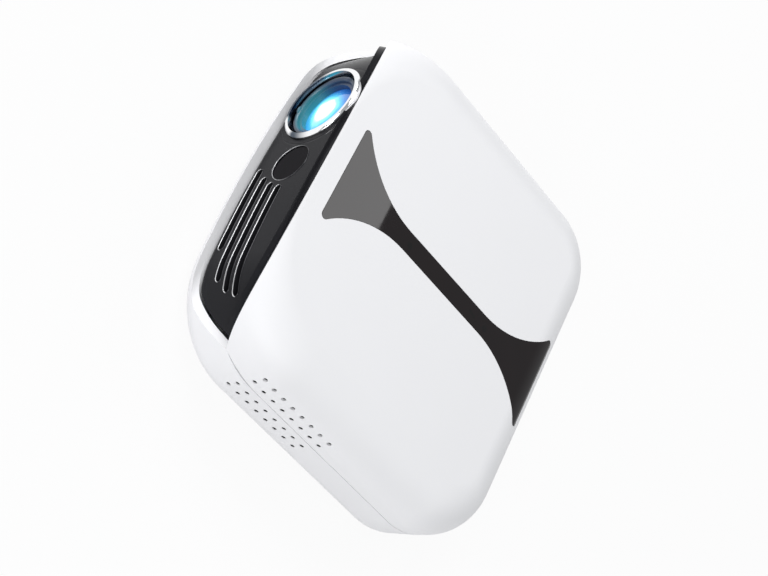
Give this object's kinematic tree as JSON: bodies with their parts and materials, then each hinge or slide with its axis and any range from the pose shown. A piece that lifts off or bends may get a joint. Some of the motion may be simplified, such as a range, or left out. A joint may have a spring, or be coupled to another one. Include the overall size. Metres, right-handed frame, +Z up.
{
  "type": "projector",
  "caption": "Pocket digital projector shaped as a rounded square puck, with a wrap-round front visor, turning focus ring, side grille, touch strip on the lid and a full light engine inside.",
  "frame": {"origin": "Centre of the casing's footprint, on the surface that the rubber feet stand on.", "axes": "+Z up through the lid; the lens side faces -Y; +X is the grille side, on the right of somebody who looks at the lens from the front."},
  "size_m": [0.1, 0.0982, 0.0324],
  "materials": {
    "shell_white": "soft satin",
    "visor_black": "polished",
    "panel_gloss": "polished",
    "board_green": "solder resist",
    "trim_chrome": "turned",
    "ring_dark": "fine grain",
    "inner_plastic": "fine grain",
    "lens_glass": "coated",
    "window_tint": "polished",
    "chip_black": "moulded",
    "engine_alloy": "cast, bead blasted",
    "copper": "plain copper",
    "led_red": "domed",
    "led_green": "domed",
    "led_blue": "domed",
    "mirror_coat": "coated",
    "speaker_black": "moulded",
    "battery_wrap": "foil wrap",
    "socket_steel": "plated",
    "light_guide": "clear",
    "foot_rubber": "smooth",
    "nut_brass": "turned",
    "screw_steel": "blackened"
  },
  "bodies": {
    "casing": {"top_shell": "shell_white", "bottom_shell": "shell_white", "front_visor": "visor_black", "touch_panel": "panel_gloss", "touch_sensor_board": "board_green", "lens_trim": "trim_chrome", "lens_mount": "inner_plastic", "sensor_window": "window_tint", "ir_receiver": "chip_black", "engine_housing": "engine_alloy", "engine_cover": "engine_alloy", "led_spreaders": "copper", "red_led": "led_red", "green_led": "led_green", "blue_led": "led_blue", "dichroic_mirrors": "mirror_coat", "relay_lens": "lens_glass", "prism": "lens_glass", "chip_board": "board_green", "mirror_chip": "chip_black", "heat_pipe": "copper", "heat_block": "copper", "heat_sink": "engine_alloy", "blower_housing": "inner_plastic", "blower_cover": "inner_plastic", "speaker": "speaker_black", "battery": "battery_wrap", "main_board": "board_green", "processor": "chip_black", "memory_chips": "chip_black", "power_coils": "chip_black", "video_socket": "socket_steel", "data_socket": "socket_steel", "dc_socket": "inner_plastic", "audio_socket": "inner_plastic", "power_switch": "inner_plastic", "status_light": "light_guide", "rubber_feet": "foot_rubber", "tripod_nut": "nut_brass", "case_screws": "screw_steel", "board_screws": "screw_steel", "engine_screws": "screw_steel", "blower_screws": "screw_steel"},
    "focus": {"focus_ring": "ring_dark"},
    "barrel": {"lens_barrel": "ring_dark", "front_lens": "lens_glass", "rear_lens": "lens_glass"},
    "fan": {"impeller": "inner_plastic"},
    "button": {"power_button": "shell_white"}
  },
  "joints": [
    {"name": "focus_turn", "type": "hinge", "parent": "casing", "child": "focus", "pos_m": [-0.0178, -0.0407, 0.02], "axis": [0, -1, 0], "range_deg": [-60, 60]},
    {"name": "barrel_slide", "type": "slide", "parent": "casing", "child": "barrel", "axis": [0, -1, 0], "range_m": [-0.00099, 0.00099]},
    {"name": "fan_spin", "type": "hinge", "parent": "casing", "child": "fan", "pos_m": [0.0185, -0.0139, 0.0145], "axis": [0, 0, 1], "continuous": true},
    {"name": "button_press", "type": "slide", "parent": "casing", "child": "button", "axis": [0, -1, 0], "range_m": [0, 0.0006], "stiffness_N_per_m": 1500, "springref_m": -0.0004}
  ],
  "couplings": [
    {"joint": "focus_turn", "follows": "barrel_slide", "rad_per_m": 1052.6}
  ]
}
